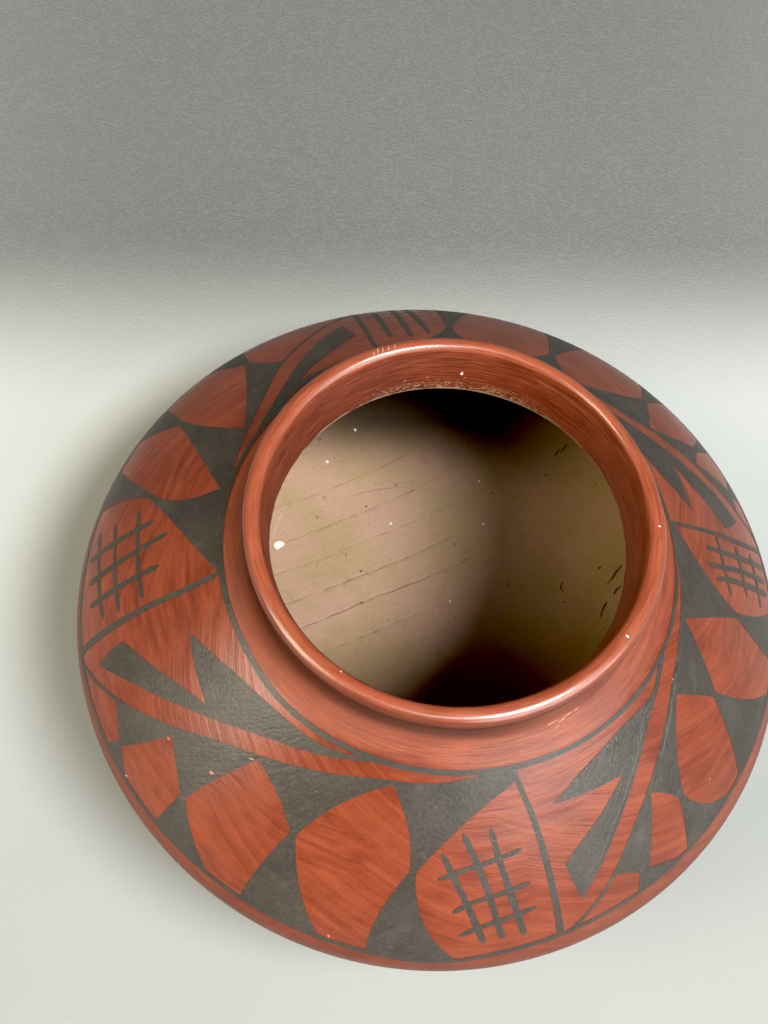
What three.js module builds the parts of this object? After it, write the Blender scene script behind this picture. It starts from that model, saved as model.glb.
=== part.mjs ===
// A squat hand-built clay jar: a moulded base bowl, wall coils luted one on
// the other up to the widest ring and in over the shoulder, a coil that turns
// up into the throat, a short upright neck and a rolled lip.
// Millimetres, +Z up, the foot stands on Z = 0.

import * as THREE from 'three';

// Body
const BODY_RADIUS = 125;        // the widest ring
const FOOT_RADIUS = 50;         // the flat that the jar stands on
const LOWER_RISE = 72;          // from the foot up to the widest ring
const SHOULDER_RISE = 54.4;     // from the widest ring up to the root of the neck
const WALL = 6;                 // clay thickness of the coiled wall
const FLOOR = 8;                // clay thickness at the middle of the bottom

// Neck and lip
const LIP_RADIUS = 63.6;        // middle of the rolled lip
const LIP_THICKNESS = 5;
const NECK_RISE = 22;           // from the root of the neck up to the middle of the lip
const NECK_SPREAD = 12;         // how far the root stands outside the lip
const NECK_WAIST = 0.9;         // how far the waist stands outside the middle of the lip
const THROAT_INSET = 3.1;       // how far the throat edge stands inside the lip
const THROAT_DEPTH = 18.9;      // from the middle of the lip down to the throat edge

// Coils and their luted seams
const MOULD_REACH = 35;         // length of wall that the base bowl takes with it
const LOWER_COILS = 5;
const SHOULDER_COILS = 5;
const THROAT_COIL = 12;         // length of the throat coil along the outside, from the neck root
const THROAT_SEAM_RISE = 2;     // how far its seam ends above the throat edge inside
const RIM_COIL_DROP = 4.5;      // how far the rim coil reaches down the neck
const SEAM_LAP = 4;             // a wall seam ends this much lower inside than outside
const RIM_LAP = 1.5;            // the same for the seam under the lip
const LUTE_GAP = 0.3;           // room for the slurry between two coils

// Slopes of the wall at its ends, in radians above level
const FOOT_SLOPE = THREE.MathUtils.degToRad(17);      // the wall leaving the foot
const SHOULDER_SLOPE = THREE.MathUtils.degToRad(39.7); // the shoulder running into the neck

// How full the curves are: the share of its span over which a curve keeps to its end slope
const FOOT_FULLNESS = 0.62;
const BELLY_FULLNESS = 0.43;
const SHOULDER_FULLNESS = 0.2;
const ROOT_FULLNESS = 0.6;
const NECK_FULLNESS = 0.92;
const WAIST_FULLNESS = 0.3;
const FLARE_FULLNESS = 0.12;
const WAIST_SHARE = 0.66;       // the waist's place between the root of the neck and the lip

// Facets round the jar and along each section
const SEGMENTS = 48;
const COIL_STEPS = 3;
const BASE_STEPS = 5;
const FLARE_STEPS = 2;
const LIP_STEPS = 7;

const slip = new THREE.MeshStandardMaterial({ color: 0x9e4a30, roughness: 0.42, metalness: 0 });
const clay = new THREE.MeshStandardMaterial({ color: 0xb48c6a, roughness: 0.85, metalness: 0 });

const point = (radius, height) => new THREE.Vector2(radius, height);
const along = (angle, length) => point(Math.cos(angle) * length, Math.sin(angle) * length);

// Outside of the wall, from the edge of the foot over the widest ring to the
// root of the neck. Both curves stand upright where they meet.
const foot = point(FOOT_RADIUS, 0);
const widest = point(BODY_RADIUS, LOWER_RISE);
const neckRoot = point(LIP_RADIUS + NECK_SPREAD, LOWER_RISE + SHOULDER_RISE);
const footPull = FOOT_FULLNESS * (BODY_RADIUS - FOOT_RADIUS);
const bellyPull = BELLY_FULLNESS * LOWER_RISE;
const shoulderPull = SHOULDER_FULLNESS * SHOULDER_RISE;
const rootPull = ROOT_FULLNESS * (BODY_RADIUS - neckRoot.x);

const lowerCurve = new THREE.CubicBezierCurve(
  foot,
  foot.clone().add(along(FOOT_SLOPE, footPull)),
  widest.clone().sub(point(0, bellyPull)),
  widest,
);
const shoulderCurve = new THREE.CubicBezierCurve(
  widest,
  widest.clone().add(point(0, shoulderPull)),
  neckRoot.clone().add(along(-SHOULDER_SLOPE, rootPull)),
  neckRoot,
);
const lowerLength = lowerCurve.getLength();
const wallLength = lowerLength + shoulderCurve.getLength();

// A place on the wall is its distance along the outside from the foot.
function onWall(distance) {
  const upper = distance > lowerLength;
  const curve = upper ? shoulderCurve : lowerCurve;
  const run = upper ? distance - lowerLength : distance;
  const share = THREE.MathUtils.clamp(run / curve.getLength(), 0, 1);
  return { at: curve.getPointAt(share), heading: curve.getTangentAt(share) };
}

function outside(distance) {
  return onWall(distance).at;
}

function inside(distance) {
  const { at, heading } = onWall(distance);
  return at.sub(point(heading.y, -heading.x).multiplyScalar(WALL));
}

function samples(from, to, steps, place) {
  return Array.from({ length: steps + 1 }, (_, i) => place(from + (to - from) * i / steps));
}

function ring(name, section, material) {
  const geometry = new THREE.LatheGeometry(section, SEGMENTS);
  geometry.rotateX(Math.PI / 2);
  const mesh = new THREE.Mesh(geometry, material);
  mesh.name = name;
  return mesh;
}

const closed = (section) => [...section, section[0].clone()];

// Base bowl: flat foot, the first length of wall, and a dished floor inside.
function baseBowl() {
  const top = MOULD_REACH - LUTE_GAP / 2;
  const dish = new THREE.QuadraticBezierCurve(
    inside(top - SEAM_LAP),
    point(FOOT_RADIUS, FLOOR),
    point(0, FLOOR),
  );
  const section = [
    point(0, 0),
    ...samples(0, top, BASE_STEPS, outside),
    ...dish.getPoints(BASE_STEPS),
  ];
  return ring('base_bowl', section, clay);
}

// One wall coil between two seams, each seam falling toward the inside.
function wallCoil(name, from, to) {
  const low = from + LUTE_GAP / 2;
  const high = to - LUTE_GAP / 2;
  const section = [
    ...samples(low, high, COIL_STEPS, outside),
    ...samples(high - SEAM_LAP, low - SEAM_LAP, COIL_STEPS, inside),
  ];
  return ring(name, closed(section), slip);
}

function wallCoils(kind, count, from, to) {
  const band = (to - from) / count;
  return Array.from({ length: count }, (_, i) => (
    wallCoil(`${kind}_coil_${i + 1}`, from + band * i, from + band * (i + 1))
  ));
}

// Neck: outside it turns up from the shoulder to a waist and flares to the lip,
// inside it rises from the throat edge.
const lipMiddle = point(LIP_RADIUS, neckRoot.y + NECK_RISE);
const lipRadius = LIP_THICKNESS / 2;
const lipOuter = lipMiddle.clone().add(point(lipRadius, 0));
const lipInner = lipMiddle.clone().sub(point(lipRadius, 0));
const throat = point(lipInner.x - THROAT_INSET, lipMiddle.y - THROAT_DEPTH);
const waist = point(LIP_RADIUS + NECK_WAIST, neckRoot.y + WAIST_SHARE * NECK_RISE);
const neckPull = NECK_FULLNESS * NECK_SPREAD;
const waistPull = WAIST_FULLNESS * NECK_RISE;
const flarePull = FLARE_FULLNESS * NECK_RISE;

const neckOutside = new THREE.CurvePath();
neckOutside.add(new THREE.CubicBezierCurve(
  neckRoot,
  neckRoot.clone().sub(along(-SHOULDER_SLOPE, neckPull)),
  waist.clone().sub(point(0, waistPull)),
  waist,
));
neckOutside.add(new THREE.CubicBezierCurve(
  waist,
  waist.clone().add(point(0, flarePull)),
  lipOuter.clone().sub(point(0, flarePull)),
  lipOuter,
));
const neckInside = new THREE.QuadraticBezierCurve(
  throat,
  point(throat.x, lipInner.y - THROAT_DEPTH / 2),
  lipInner,
);

const onCurve = (curve) => (distance) => curve.getPointAt(distance / curve.getLength());
const neckFace = onCurve(neckOutside);
const throatFace = onCurve(neckInside);
const rimSeam = neckOutside.getLength() - RIM_COIL_DROP;
const rimSeamInside = neckInside.getLength() - RIM_COIL_DROP - RIM_LAP;

// Throat coil: turns from the shoulder slope up into the neck, with the throat edge inside.
function throatCoil() {
  const section = [
    ...samples(LUTE_GAP / 2, THROAT_COIL - LUTE_GAP / 2, COIL_STEPS, neckFace),
    throatFace(THROAT_SEAM_RISE - LUTE_GAP / 2),
    throat,
    inside(wallLength - SEAM_LAP + LUTE_GAP / 2),
  ];
  return ring('throat_coil', closed(section), slip);
}

// Neck coil: the upright wall between the throat and the lip.
function neckCoil() {
  const section = [
    ...samples(THROAT_COIL + LUTE_GAP / 2, rimSeam - LUTE_GAP / 2, COIL_STEPS, neckFace),
    ...samples(rimSeamInside - LUTE_GAP / 2, THROAT_SEAM_RISE + LUTE_GAP / 2, COIL_STEPS, throatFace),
  ];
  return ring('neck_coil', closed(section), slip);
}

// Rim coil: the flare under the lip and the half-round roll on top.
function rimCoil() {
  const roll = (angle) => lipMiddle.clone().add(along(angle, lipRadius));
  const flare = samples(rimSeam + LUTE_GAP / 2, neckOutside.getLength(), FLARE_STEPS, neckFace);
  const section = [
    ...flare.slice(0, -1),
    ...samples(0, Math.PI, LIP_STEPS, roll),
    throatFace(rimSeamInside + LUTE_GAP / 2),
  ];
  return ring('rim_coil', closed(section), slip);
}

const jar = new THREE.Group();
jar.name = 'pottery_vase';
jar.add(
  baseBowl(),
  ...wallCoils('lower', LOWER_COILS, MOULD_REACH, lowerLength),
  ...wallCoils('shoulder', SHOULDER_COILS, lowerLength, wallLength),
  throatCoil(),
  neckCoil(),
  rimCoil(),
);

export default jar;
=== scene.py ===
# %% [markdown]
# A painted clay jar
#
# This lesson dresses a squat, hand-built clay jar: burnished red slip outside and over the lip,
# dark painting on the shoulder, bare scraped clay inside. The packed model is loaded first and is
# never moved. It is the fixed frame that every piece here is built around, in metres.

# %% Load the frame
import math
import random

import bmesh
import bpy
import numpy as np
from mathutils import Matrix, Vector, noise
from mathutils.bvhtree import BVHTree
from mathutils.geometry import interpolate_bezier


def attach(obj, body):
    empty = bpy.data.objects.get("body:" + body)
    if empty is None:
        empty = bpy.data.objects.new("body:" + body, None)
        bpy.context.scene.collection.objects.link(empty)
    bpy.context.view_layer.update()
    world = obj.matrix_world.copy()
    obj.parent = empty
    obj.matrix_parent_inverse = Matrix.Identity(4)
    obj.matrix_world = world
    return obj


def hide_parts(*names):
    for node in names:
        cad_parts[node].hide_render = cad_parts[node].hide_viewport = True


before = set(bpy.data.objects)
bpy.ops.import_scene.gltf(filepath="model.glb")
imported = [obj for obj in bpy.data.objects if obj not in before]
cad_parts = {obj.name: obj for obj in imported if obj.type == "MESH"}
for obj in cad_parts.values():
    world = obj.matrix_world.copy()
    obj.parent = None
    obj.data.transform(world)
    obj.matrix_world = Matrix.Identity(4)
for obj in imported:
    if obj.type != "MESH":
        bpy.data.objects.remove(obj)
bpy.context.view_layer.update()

print("frame nodes:", sorted(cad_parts))

# %% [markdown]
# The camera
#
# The photograph looks steeply down into the mouth, a little rolled. A camera could be aimed with a
# constraint, but three angles and a place are easier to read: how far it looks down, how far it
# turns aside, and how far it is rolled about its own line of sight.

# %% Camera
MM = 0.001
CAMERA_PLACE = Vector((0, -211.8, 582.6)) * MM
LOOK_DOWN = math.radians(64.29)
LOOK_ASIDE = math.radians(-6.14)
CAMERA_ROLL = math.radians(9.92)
FOCAL_PIXELS = 1538
IMAGE_HEIGHT = 1024
SENSOR = 36


def put_in_scene(name, data):
    """A new object with that data, linked into the scene."""
    made = bpy.data.objects.new(name, data)
    bpy.context.scene.collection.objects.link(made)
    return made


def make_camera():
    level = Vector((math.sin(LOOK_ASIDE), math.cos(LOOK_ASIDE), 0))
    ahead = level * math.cos(LOOK_DOWN) - Vector((0, 0, math.sin(LOOK_DOWN)))
    right = Vector((math.cos(LOOK_ASIDE), -math.sin(LOOK_ASIDE), 0))
    axes = Matrix((right, right.cross(ahead), -ahead)).transposed()
    rolled = axes @ Matrix.Rotation(CAMERA_ROLL, 3, "Z")
    data = bpy.data.cameras.new("camera")
    data.sensor_width = SENSOR
    data.lens = FOCAL_PIXELS * SENSOR / IMAGE_HEIGHT
    camera = put_in_scene("camera", data)
    camera.matrix_world = Matrix.Translation(CAMERA_PLACE) @ rolled.to_4x4()
    bpy.context.scene.camera = camera
    return camera


camera = make_camera()
print("camera at", tuple(round(c, 3) for c in camera.location), "lens", round(camera.data.lens, 1))

# %% [markdown]
# The outline of the jar
#
# A place on the jar is given the way a painter finds it: an azimuth round the jar, a climb up the
# outside wall from the widest ring, and a lift off the surface. The outline repeats the curves of
# the frame: foot, belly, shoulder, neck, a half-round lip, and down inside the neck to the throat
# edge. Measuring along it once turns climb into radius and height.

# %% Outline, in millimetres
FOOT = Vector((50, 0))
WIDEST = Vector((125, 72))
NECK_ROOT = Vector((75.6, 126.4))
WAIST = Vector((64.5, 140.92))
LIP_MIDDLE = Vector((63.6, 148.4))
LIP_RADIUS = 2.5
THROAT = Vector((58.0, 129.5))
FOOT_SLOPE = math.radians(17)
SHOULDER_SLOPE = math.radians(39.7)
CURVE_POINTS = 90
UP = Vector((0, 1))

# How far each curve keeps to the slope at its end
FOOT_PULL = 46.5
BELLY_PULL = 30.96
SHOULDER_PULL = 10.88
ROOT_PULL = 29.64
NECK_PULL = 11.04
WAIST_PULL = 6.6
FLARE_PULL = 2.64


def slanted(slope, length):
    return Vector((math.cos(slope), math.sin(slope))) * length


def bent_line(start, pull, end, count):
    """Points on a curve from start to end that one point pulls aside."""
    return interpolate_bezier(start, start.lerp(pull, 2 / 3), end.lerp(pull, 2 / 3), end, count)


def trace_outline():
    lip_outer = LIP_MIDDLE + Vector((LIP_RADIUS, 0))
    lip_inner = LIP_MIDDLE - Vector((LIP_RADIUS, 0))
    half_way_down = Vector((THROAT.x, (THROAT.y + lip_inner.y) / 2))
    belly = (FOOT, FOOT + slanted(FOOT_SLOPE, FOOT_PULL), WIDEST - UP * BELLY_PULL, WIDEST)
    shoulder = (WIDEST, WIDEST + UP * SHOULDER_PULL,
                NECK_ROOT + slanted(-SHOULDER_SLOPE, ROOT_PULL), NECK_ROOT)
    neck = (NECK_ROOT, NECK_ROOT - slanted(-SHOULDER_SLOPE, NECK_PULL),
            WAIST - UP * WAIST_PULL, WAIST)
    flare = (WAIST, WAIST + UP * FLARE_PULL, lip_outer - UP * FLARE_PULL, lip_outer)
    line = [FOOT]
    for curve in (belly, shoulder, neck, flare):
        line += interpolate_bezier(*curve, CURVE_POINTS)[1:]
    for i in range(1, CURVE_POINTS):
        line.append(LIP_MIDDLE + slanted(math.pi * i / CURVE_POINTS, LIP_RADIUS))
    line += bent_line(lip_inner, half_way_down, THROAT, CURVE_POINTS)
    return np.array([tuple(p) for p in line])


OUTLINE = trace_outline()
STEPS = np.hypot(*np.diff(OUTLINE, axis=0).T)
CLIMB = np.concatenate([[0], np.cumsum(STEPS)])
CLIMB = CLIMB - CLIMB[CURVE_POINTS - 1]
HEADING = np.gradient(OUTLINE, CLIMB, axis=0)
HEADING /= np.hypot(*HEADING.T)[:, None]
FOOT_CLIMB = CLIMB[0]
THROAT_CLIMB = CLIMB[-1]


def climb_at(radius, height):
    """The climb of the outline's point that is nearest to a radius and height."""
    return CLIMB[np.argmin(np.hypot(OUTLINE[:, 0] - radius, OUTLINE[:, 1] - height))]


def on_wall(climb, lift=0.0):
    """Radius and height at a climb, lifted off the outside by so many millimetres."""
    radius, height = (np.interp(climb, CLIMB, OUTLINE[:, i]) for i in (0, 1))
    run, rise = (np.interp(climb, CLIMB, HEADING[:, i]) for i in (0, 1))
    return radius + lift * rise, height - lift * run


ROOT_CLIMB = climb_at(*NECK_ROOT)
print(f"wall climbs from {FOOT_CLIMB:.1f} at the foot to {ROOT_CLIMB:.1f} at the neck "
      f"and {THROAT_CLIMB:.1f} at the throat edge")

# %% [markdown]
# Shader maths
#
# Every finish below is a small formula. Adding each Math node by hand hides that formula, so one
# class wraps a socket and lets Python's own operators add the nodes. Any other node comes from the
# method node: its kind, its settings, then the values or links of its sockets.

# %% Sockets as Python values
class Wire:
    """An output socket of a material. Arithmetic on it adds Math nodes."""

    def __init__(self, tree, socket=None):
        self.tree = tree
        self.socket = socket

    def node(self, kind, settings, sockets, out=0):
        made = self.tree.nodes.new(kind)
        for name, value in settings.items():
            setattr(made, name, value)
        for name, value in sockets.items():
            if isinstance(value, Wire):
                self.tree.links.new(value.socket, made.inputs[name])
            else:
                made.inputs[name].default_value = value
        return Wire(self.tree, made.outputs[out])

    def math(self, operation, *values):
        return self.node("ShaderNodeMath", {"operation": operation}, dict(enumerate(values)))

    def __add__(self, other):
        return self.math("ADD", self, other)

    def __sub__(self, other):
        return self.math("SUBTRACT", self, other)

    def __rsub__(self, other):
        return self.math("SUBTRACT", other, self)

    def __mul__(self, other):
        return self.math("MULTIPLY", self, other)

    def __truediv__(self, other):
        return self.math("DIVIDE", self, other)

    def __pow__(self, other):
        return self.math("POWER", self, other)

    __radd__ = __add__
    __rmul__ = __mul__

    def fade(self, low, high):
        """0 below low, 1 above high, smooth between; the other way round where low is the larger."""
        return self.node("ShaderNodeMapRange", {"interpolation_type": "SMOOTHSTEP"},
                         {"Value": self, "From Min": low, "From Max": high})

    def grain(self, scale, detail=2.0, roughness=0.5):
        """Noise between 0 and 1 that reads this vector."""
        return self.node("ShaderNodeTexNoise", {},
                         {"Vector": self, "Scale": scale, "Detail": detail, "Roughness": roughness})

    def stretched(self, along, across, other):
        """This vector with its three parts scaled."""
        return self.node("ShaderNodeVectorMath", {"operation": "MULTIPLY"},
                         {0: self, 1: (along, across, other)})

    def turned(self, angle):
        """This vector in axes turned about the upright one."""
        return self.node("ShaderNodeMapping", {"vector_type": "TEXTURE"},
                         {"Vector": self, "Rotation": (0, 0, angle)})

    def parts(self):
        """The three numbers of this vector."""
        split = self.node("ShaderNodeSeparateXYZ", {}, {"Vector": self})
        return [Wire(self.tree, out) for out in split.socket.node.outputs]

    def tint(self, first, second):
        """The first colour where this value is 0, the second where it is 1."""
        return self.node("ShaderNodeMix", {"data_type": "RGBA"}, {0: self, 6: first, 7: second}, out=2)


def new_finish(name):
    """A material with its shader, and a wire to start from."""
    material = bpy.data.materials.new(name)
    material.use_nodes = True
    tree = material.node_tree
    return material, tree.nodes["Principled BSDF"], Wire(tree)


def feed(shader, socket, wire):
    wire.tree.links.new(wire.socket, shader.inputs[socket])


def relief(shader, height, depth):
    """Bump of so many metres from a height between 0 and 1."""
    feed(shader, "Normal", height.node("ShaderNodeBump", {}, {"Height": height, "Distance": depth}))


def colour(red, green, blue):
    return (red, green, blue, 1.0)


def place_on_object(wire):
    """The point's own place on the jar, in metres."""
    return wire.node("ShaderNodeTexCoord", {}, {}, out=3)


def measure(wire, name):
    """A number that the mesh itself carries at each vertex."""
    return wire.node("ShaderNodeAttribute", {"attribute_name": name}, {}, out=2)


print("Wire can", ", ".join(sorted(n for n in vars(Wire) if not n.startswith("_"))))

# %% [markdown]
# Red slip
#
# The red is a thin wash of iron-rich clay, rubbed with a smooth stone before the firing. On the neck
# the stone ran round the jar, on the shoulder it also ran slantwise down. Plain noise would give
# blots. Noise that reads the direction round the axis and the climb, each with its own stretch,
# gives strokes that close on themselves with no seam, and turning that direction a little with the
# climb makes them slant. Hands have polished the lip, so a thin clear coat makes it gleam, and its
# colour is paler, partly from that wear and partly as a painted sheen. Painted shade darkens the
# groove under the lip, most in front, the hollow of the neck at the left, the underside of the lip,
# the inside of the neck and the wall below the belly line. The slip is worn through at the far
# throat edge.

# %% Slip finish
def round_the_jar(wire, length, width, twist=0.0):
    """A vector for marks of that length round the jar and width up it, in millimetres.

    Twist turns the marks by so many radians round the jar for each millimetre of climb.
    """
    x, y, _ = place_on_object(wire).parts()
    climb = measure(wire, "climb")
    reach = (x * x + y * y) ** 0.5
    sine = wire.math("SINE", climb * twist)
    cosine = wire.math("COSINE", climb * twist)
    turns = 100 / length
    return wire.node("ShaderNodeCombineXYZ", {}, {0: (x * cosine - y * sine) / reach * turns,
                                                  1: (x * sine + y * cosine) / reach * turns,
                                                  2: climb / width})


SLIP_DEEP = colour(0.100, 0.0168, 0.0072)
SLIP_BRIGHT = colour(0.192, 0.0402, 0.0170)
SLIP_DUSTY = colour(0.27, 0.08, 0.041)
SLIP_RUBBED = colour(0.262, 0.059, 0.026)
SLIP_HANDLED_AND_SHEEN = colour(0.30, 0.089, 0.051)
SLIP_SHADED = colour(0.062, 0.0105, 0.004)
SLIP_GROOVE_SHADE = colour(0.030, 0.0080, 0.0040)
WORN_THROUGH = colour(0.36, 0.23, 0.14)

# Climbs over which a part of the jar begins or ends, in millimetres
NECK_STARTS = (75, 79)
LIP_STARTS = (100.5, 102.5)
LIP_ENDS = (109.5, 108)
INSIDE_STARTS = (106, 110.5)
BELLY_STARTS = (12, 2)
UNDER_LIP_STARTS = (94, 97)
UNDER_LIP_ENDS = (103.8, 101.4)
CREVICE_STARTS = (84.5, 88)
HOLLOW_STARTS = (78, 88)
GROOVE_SHADE_ENDS = (99.5, 96.5)
WEAR_STARTS = (120.5, 127)

# Where the left and the right side begin as the camera sees them, in metres
LEFT_SIDE = (0.02, -0.045)
RIGHT_SIDE = (0.02, 0.05)

SLIP_ROUGHNESS = 0.285
COAT_ROUGHNESS = 0.13
SLIP_RELIEF = 0.0002


def slip_finish():
    material, shader, wire = new_finish("red_slip_burnished")
    place = place_on_object(wire)
    x, y, _ = place.parts()
    climb = measure(wire, "climb")
    neck = climb.fade(*NECK_STARTS)
    lip = climb.fade(*LIP_STARTS) * climb.fade(*LIP_ENDS)
    inside = climb.fade(*INSIDE_STARTS)
    below = climb.fade(*BELLY_STARTS)
    left = x.fade(*LEFT_SIDE)
    right = x.fade(*RIGHT_SIDE)

    # Strokes of the stone, clouds in the wash, and dust
    broad = round_the_jar(wire, 24, 2.6).grain(1.0, 3.0, 0.6)
    slanting = round_the_jar(wire, 5, 30, 0.02).grain(1.0, 3.0, 0.65)
    fine = round_the_jar(wire, 20, 0.6).grain(1.0, 3.0, 0.6).fade(0.34, 0.68)
    cloud = place.grain(60, 4.0, 0.6)
    dust = place.grain(1300, 1.0)
    slantwise = place.grain(30, 1.0).fade(0.40, 0.54) * (1 - neck) * 0.85
    marks = broad + slantwise * (slanting - broad)

    # Colour of the wash and the rubbed neck, the lip paler from wear and painted sheen, and painted
    # shade under the lip, inside the neck and below the belly line
    red = (marks * 0.62 + cloud * 0.38).fade(0.32, 0.68).tint(SLIP_DEEP, SLIP_BRIGHT)
    red = (dust.fade(0.5, 0.85) * 0.2).tint(red, SLIP_DUSTY)
    red = ((fine * 0.26 + 0.1) * neck).tint(red, SLIP_RUBBED)
    # The lip is painted paler, partly for the wear of hands and partly as painted sheen
    red = (lip * (0.18 + fine * 0.3)).tint(red, SLIP_HANDLED_AND_SHEEN)
    # Painted shade under the lip, inside the neck and on the wall below the belly line
    under_lip = climb.fade(*UNDER_LIP_STARTS) * climb.fade(*UNDER_LIP_ENDS)
    red = (under_lip * 0.72).tint(red, SLIP_SHADED)
    red = (inside * (0.8 - fine * 0.58)).tint(red, SLIP_SHADED)
    red = (below * 0.35).tint(red, SLIP_SHADED)

    # Painted shade in the groove under the lip, most of it in front, and on the hollow of the neck at
    # the left; slip worn off at the throat
    crevice = climb.fade(*CREVICE_STARTS) * (0.86 - left * 0.62 - right * 0.36)
    left_hollow_shade = climb.fade(*HOLLOW_STARTS) * left * 0.55
    groove_shade = climb.fade(*GROOVE_SHADE_ENDS) * (crevice + left_hollow_shade)
    red = groove_shade.tint(red, SLIP_GROOVE_SHADE)
    crumbs = round_the_jar(wire, 2.4, 0.55).grain(1.0, 2.0).fade(0.48, 0.66)
    worn = y.fade(0.01, 0.04) * x.fade(0.03, 0.0) * climb.fade(*WEAR_STARTS)
    worn = worn * place.grain(30, 2.0).fade(0.40, 0.58)
    red = (worn * crumbs * 0.8).tint(red, WORN_THROUGH)
    feed(shader, "Base Color", red)

    # Gloss: the lip shines most, the neck and the shaded groove least
    rough = SLIP_ROUGHNESS + marks * 0.07 * (1 - lip) + below * 0.2
    rough = rough + neck * (1 - lip) * (0.12 + left * 0.16 + fine * 0.06) + groove_shade * 0.55
    feed(shader, "Roughness", rough)
    front = y.fade(-0.055, -0.064) * x.fade(-0.022, 0.0)
    feed(shader, "Coat Weight", lip * (0.1 + fine * 0.3 + front * 0.15))
    shader.inputs["Coat Roughness"].default_value = COAT_ROUGHNESS
    relief(shader, (marks + fine * neck * 0.2) * (1 - lip * 0.7) + dust * 0.08, SLIP_RELIEF)
    return material


SLIP_FINISH = slip_finish()
print(SLIP_FINISH.name, len(SLIP_FINISH.node_tree.nodes), "nodes")

# %% [markdown]
# Dark paint
#
# The painting is a thin mineral paint laid on the burnished slip with a chewed yucca brush. It is
# matte where the slip shines, and it dries in ridges along the stroke. Each painted piece carries
# its own measure along and across the stroke, so one finish serves every direction.

# %% Paint finish
PAINT_DEEP = colour(0.0245, 0.0200, 0.0165)
PAINT_THIN = colour(0.044, 0.036, 0.0303)
PAINT_SMUDGED = colour(0.085, 0.068, 0.058)
PAINT_WORN = colour(0.125, 0.08, 0.06)
PAINT_RELIEF = 0.0003


def paint_finish():
    material, shader, wire = new_finish("black_paint_matte")
    stroke = wire.node("ShaderNodeAttribute", {"attribute_name": "stroke"}, {}, out=1)
    place = place_on_object(wire)
    bristles = stroke.stretched(0.07, 0.75, 1).grain(1.0, 3.0, 0.6)
    pools = place.grain(55, 3.0)
    dust = place.grain(800, 2.0, 0.6)
    smudge = place.grain(130, 3.0, 0.6).fade(0.52, 0.74)
    worn = place.grain(420, 3.0, 0.6).fade(0.62, 0.74)
    shade = (bristles * 0.2 + pools * 0.4 + dust * 0.4).fade(0.34, 0.66)
    dark = shade.tint(PAINT_DEEP, PAINT_THIN)
    dark = (smudge * 0.25).tint(dark, PAINT_SMUDGED)
    feed(shader, "Base Color", (worn * 0.3).tint(dark, PAINT_WORN))
    feed(shader, "Roughness", 0.37 + pools * 0.12)
    relief(shader, bristles * 0.36 + dust * 0.4, PAINT_RELIEF)
    return material


PAINT_FINISH = paint_finish()
print(PAINT_FINISH.name, len(PAINT_FINISH.node_tree.nodes), "nodes")

# %% [markdown]
# Bare clay
#
# Inside, the wall was scraped and left bare. Straight scratches run one way across it, with pits
# where grains of temper came away. The scratches keep their direction all over the inside, so they
# read the object's own coordinates, turned by a Mapping node. The creases are painted darker along
# their middle as shade. Up under the shoulder the clay is painted darker as shade, less at the
# throat edge on the left, and a patch on the far wall is painted dark as a cast shadow.

# %% Clay finish
SCRAPE_TURN = math.radians(40.3)
CLAY_YELLOW = colour(0.314, 0.206, 0.113)
CLAY_PINK = colour(0.354, 0.215, 0.147)
CLAY_PALE = colour(0.46, 0.335, 0.235)
CLAY_SCRATCH = colour(0.20, 0.12, 0.072)
CLAY_PIT = colour(0.10, 0.062, 0.036)
CLAY_CREASE_SHADE = colour(0.085, 0.05, 0.03)
CLAY_SHOULDER_SHADE = colour(0.085, 0.056, 0.032)
CLAY_FAR_SHADOW = colour(0.018, 0.012, 0.007)

# Places inside over which the painted shade and shadow begin, in metres
SHOULDER_SHADE_HEIGHT = (0.028, 0.075)
BARE_EDGE_HEIGHT = (0.118, 0.128)
BARE_EDGE_SIDE = (0.015, -0.02)
FAR_SHADOW_HEIGHT = (0.017, 0.034)
FAR_SHADOW_SIDE = (0.05, 0.005)
FAR_SHADOW_DEPTH = (0.056, 0.092)
CLAY_RELIEF = 0.0003


def clay_finish():
    material, shader, wire = new_finish("bare_clay_scraped")
    place = place_on_object(wire)
    x, depth, height = place.parts()
    scratch = place.turned(SCRAPE_TURN).stretched(35, 800, 800).grain(1.0, 3.0, 0.6)
    patch = place.grain(45, 3.0)
    blotch = place.grain(190, 3.0, 0.65)
    sand = place.grain(1300, 3.0, 0.7)
    pit = place.grain(300, 2.0).fade(0.30, 0.22)
    crease = measure(wire, "crease")
    clay = patch.fade(0.38, 0.62).tint(CLAY_YELLOW, CLAY_PINK)
    clay = (blotch.fade(0.50, 0.28) * 0.22).tint(clay, CLAY_SCRATCH)
    clay = (sand.fade(0.4, 0.75) * 0.35).tint(clay, CLAY_PALE)
    clay = (scratch.fade(0.58, 0.74) * 0.2).tint(clay, CLAY_SCRATCH)
    clay = (pit * 0.6).tint(clay, CLAY_PIT)
    # Painted shade along the middle of each crease
    clay = (crease.fade(0.1, 0.95) * 0.55).tint(clay, CLAY_CREASE_SHADE)
    # Painted shade up under the shoulder, less of it at the throat edge on the left
    bare_edge = height.fade(*BARE_EDGE_HEIGHT) * x.fade(*BARE_EDGE_SIDE)
    shoulder_shade = height.fade(*SHOULDER_SHADE_HEIGHT) * (0.75 - bare_edge * 0.4)
    clay = shoulder_shade.tint(clay, CLAY_SHOULDER_SHADE)
    # Painted shadow cast by the throat on a patch of the far wall
    far_wall_shadow = x.fade(*FAR_SHADOW_SIDE) * depth.fade(*FAR_SHADOW_DEPTH) * height.fade(*FAR_SHADOW_HEIGHT)
    clay = (far_wall_shadow * 0.88).tint(clay, CLAY_FAR_SHADOW)
    feed(shader, "Base Color", clay)
    feed(shader, "Roughness", 0.78 + sand * 0.2)
    relief(shader, scratch * 0.2 + blotch * 0.5 + sand * 0.3 + (1 - pit) * 0.5, CLAY_RELIEF)
    return material


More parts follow.
